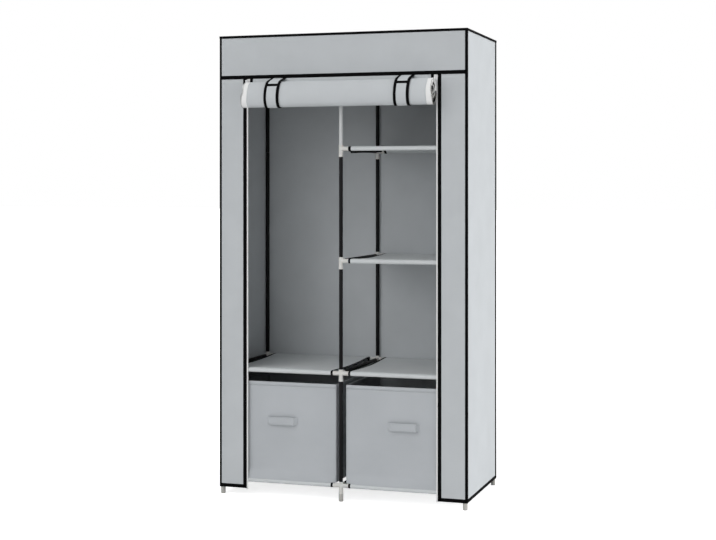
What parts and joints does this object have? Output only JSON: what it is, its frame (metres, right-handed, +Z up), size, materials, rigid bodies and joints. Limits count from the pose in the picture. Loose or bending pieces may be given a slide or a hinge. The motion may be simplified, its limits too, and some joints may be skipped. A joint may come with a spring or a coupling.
{
  "type": "portable fabric wardrobe",
  "caption": "Free-standing tube-frame wardrobe under a zipped fabric cover with a roll-up door, a hanging bay, fabric shelves and open storage boxes.",
  "frame": {"origin": "on the floor, under the middle of the whole object with its rolled door", "axes": "+Z up, -Y towards the front with the door, +X to the right seen from the front"},
  "size_m": [0.886, 0.513, 1.5876],
  "materials": {
    "tube_black": "black powder coat, satin",
    "tube_light": "light grey powder coat, satin",
    "connector_grey": "moulded polypropylene, satin",
    "cover_fabric": "cool grey non-woven fabric",
    "shelf_fabric": "light grey non-woven fabric",
    "box_fabric": "grey non-woven fabric over board",
    "binding_black": "black woven binding tape",
    "zipper_tape": "off-white woven zipper tape",
    "zip_metal": "light grey painted zinc"
  },
  "bodies": {
    "wardrobe": {"bottom_rail_front": "tube_black", "bottom_rail_rear": "tube_black", "cover_back": "cover_fabric", "cover_binding": "binding_black", "cover_header": "cover_fabric", "cover_left_side": "cover_fabric", "cover_right_side": "cover_fabric", "cover_roof": "cover_fabric", "door_curtain": "cover_fabric", "door_strap_left": "cover_fabric", "door_strap_right": "cover_fabric", "front_middle_connector_bottom": "connector_grey", "front_middle_connector_lower": "connector_grey", "front_middle_connector_mid": "connector_grey", "front_middle_connector_top": "connector_grey", "front_middle_connector_upper": "connector_grey", "front_middle_post": "tube_black", "front_middle_post_upper": "tube_light", "hanging_rail": "tube_black", "left_side_frame": "tube_black", "lower_rail_left_front": "tube_black", "lower_rail_left_rear": "tube_black", "lower_rail_right_front": "tube_black", "lower_rail_right_rear": "tube_black", "mid_rail_right_front": "tube_black", "mid_rail_right_rear": "tube_black", "middle_depth_tube_bottom": "tube_black", "middle_depth_tube_lower": "tube_black", "middle_depth_tube_mid": "tube_black", "middle_depth_tube_top": "tube_black", "middle_depth_tube_upper": "tube_black", "rear_middle_connector_bottom": "connector_grey", "rear_middle_connector_lower": "connector_grey", "rear_middle_connector_mid": "connector_grey", "rear_middle_connector_top": "connector_grey", "rear_middle_connector_upper": "connector_grey", "rear_middle_post": "tube_black", "right_side_frame": "tube_black", "shelf_bottom_left": "shelf_fabric", "shelf_bottom_right": "shelf_fabric", "shelf_lower_left": "shelf_fabric", "shelf_lower_right": "shelf_fabric", "shelf_mid_right": "shelf_fabric", "shelf_upper_right": "shelf_fabric", "top_rail_front": "tube_black", "top_rail_rear": "tube_black", "upper_rail_right_front": "tube_black", "upper_rail_right_rear": "tube_black"},
    "left_strip": {"cover_strip_left": "cover_fabric", "zipper_tape_left": "zipper_tape"},
    "right_strip": {"cover_strip_right": "cover_fabric", "zipper_tape_right": "zipper_tape"},
    "left_box": {"storage_box_left": "box_fabric", "box_handle_left": "box_fabric"},
    "right_box": {"storage_box_right": "box_fabric", "box_handle_right": "box_fabric"},
    "rolled_door": {"door_roll": "cover_fabric"},
    "left_zip": {"zip_slider_left": "zip_metal"},
    "right_zip": {"zip_slider_right": "zip_metal"}
  },
  "joints": [
    {"name": "left_box_slide", "type": "slide", "parent": "wardrobe", "child": "left_box", "axis": [0, -1, 0], "range_m": [0, 0.42]},
    {"name": "left_strip_fold", "type": "hinge", "parent": "wardrobe", "child": "left_strip", "pos_m": [-0.4345, -0.1825, 0.75], "axis": [0, 0, -1], "range_deg": [0, 100], "deforming": ["cover_strip_left", "zipper_tape_left"]},
    {"name": "right_box_slide", "type": "slide", "parent": "wardrobe", "child": "right_box", "axis": [0, -1, 0], "range_m": [0, 0.42]},
    {"name": "right_strip_fold", "type": "hinge", "parent": "wardrobe", "child": "right_strip", "pos_m": [0.4345, -0.1825, 0.75], "axis": [0, 0, 1], "range_deg": [0, 100], "deforming": ["cover_strip_right", "zipper_tape_right"]},
    {"name": "door_lower", "type": "slide", "parent": "wardrobe", "child": "rolled_door", "axis": [0, 0, 1], "range_m": [-1.3, 0], "deforming": ["door_roll", "door_curtain", "door_strap_left", "door_strap_right"]},
    {"name": "left_zip_slide", "type": "slide", "parent": "wardrobe", "child": "left_zip", "axis": [0, 0, 1], "range_m": [-1.36, 0]},
    {"name": "right_zip_slide", "type": "slide", "parent": "wardrobe", "child": "right_zip", "axis": [0, 0, 1], "range_m": [-1.36, 0]}
  ],
  "couplings": [
    {"joint": "left_strip_fold", "follows": "left_box_slide", "rad_per_m": 4.15},
    {"joint": "right_strip_fold", "follows": "right_box_slide", "rad_per_m": 4.15}
  ]
}
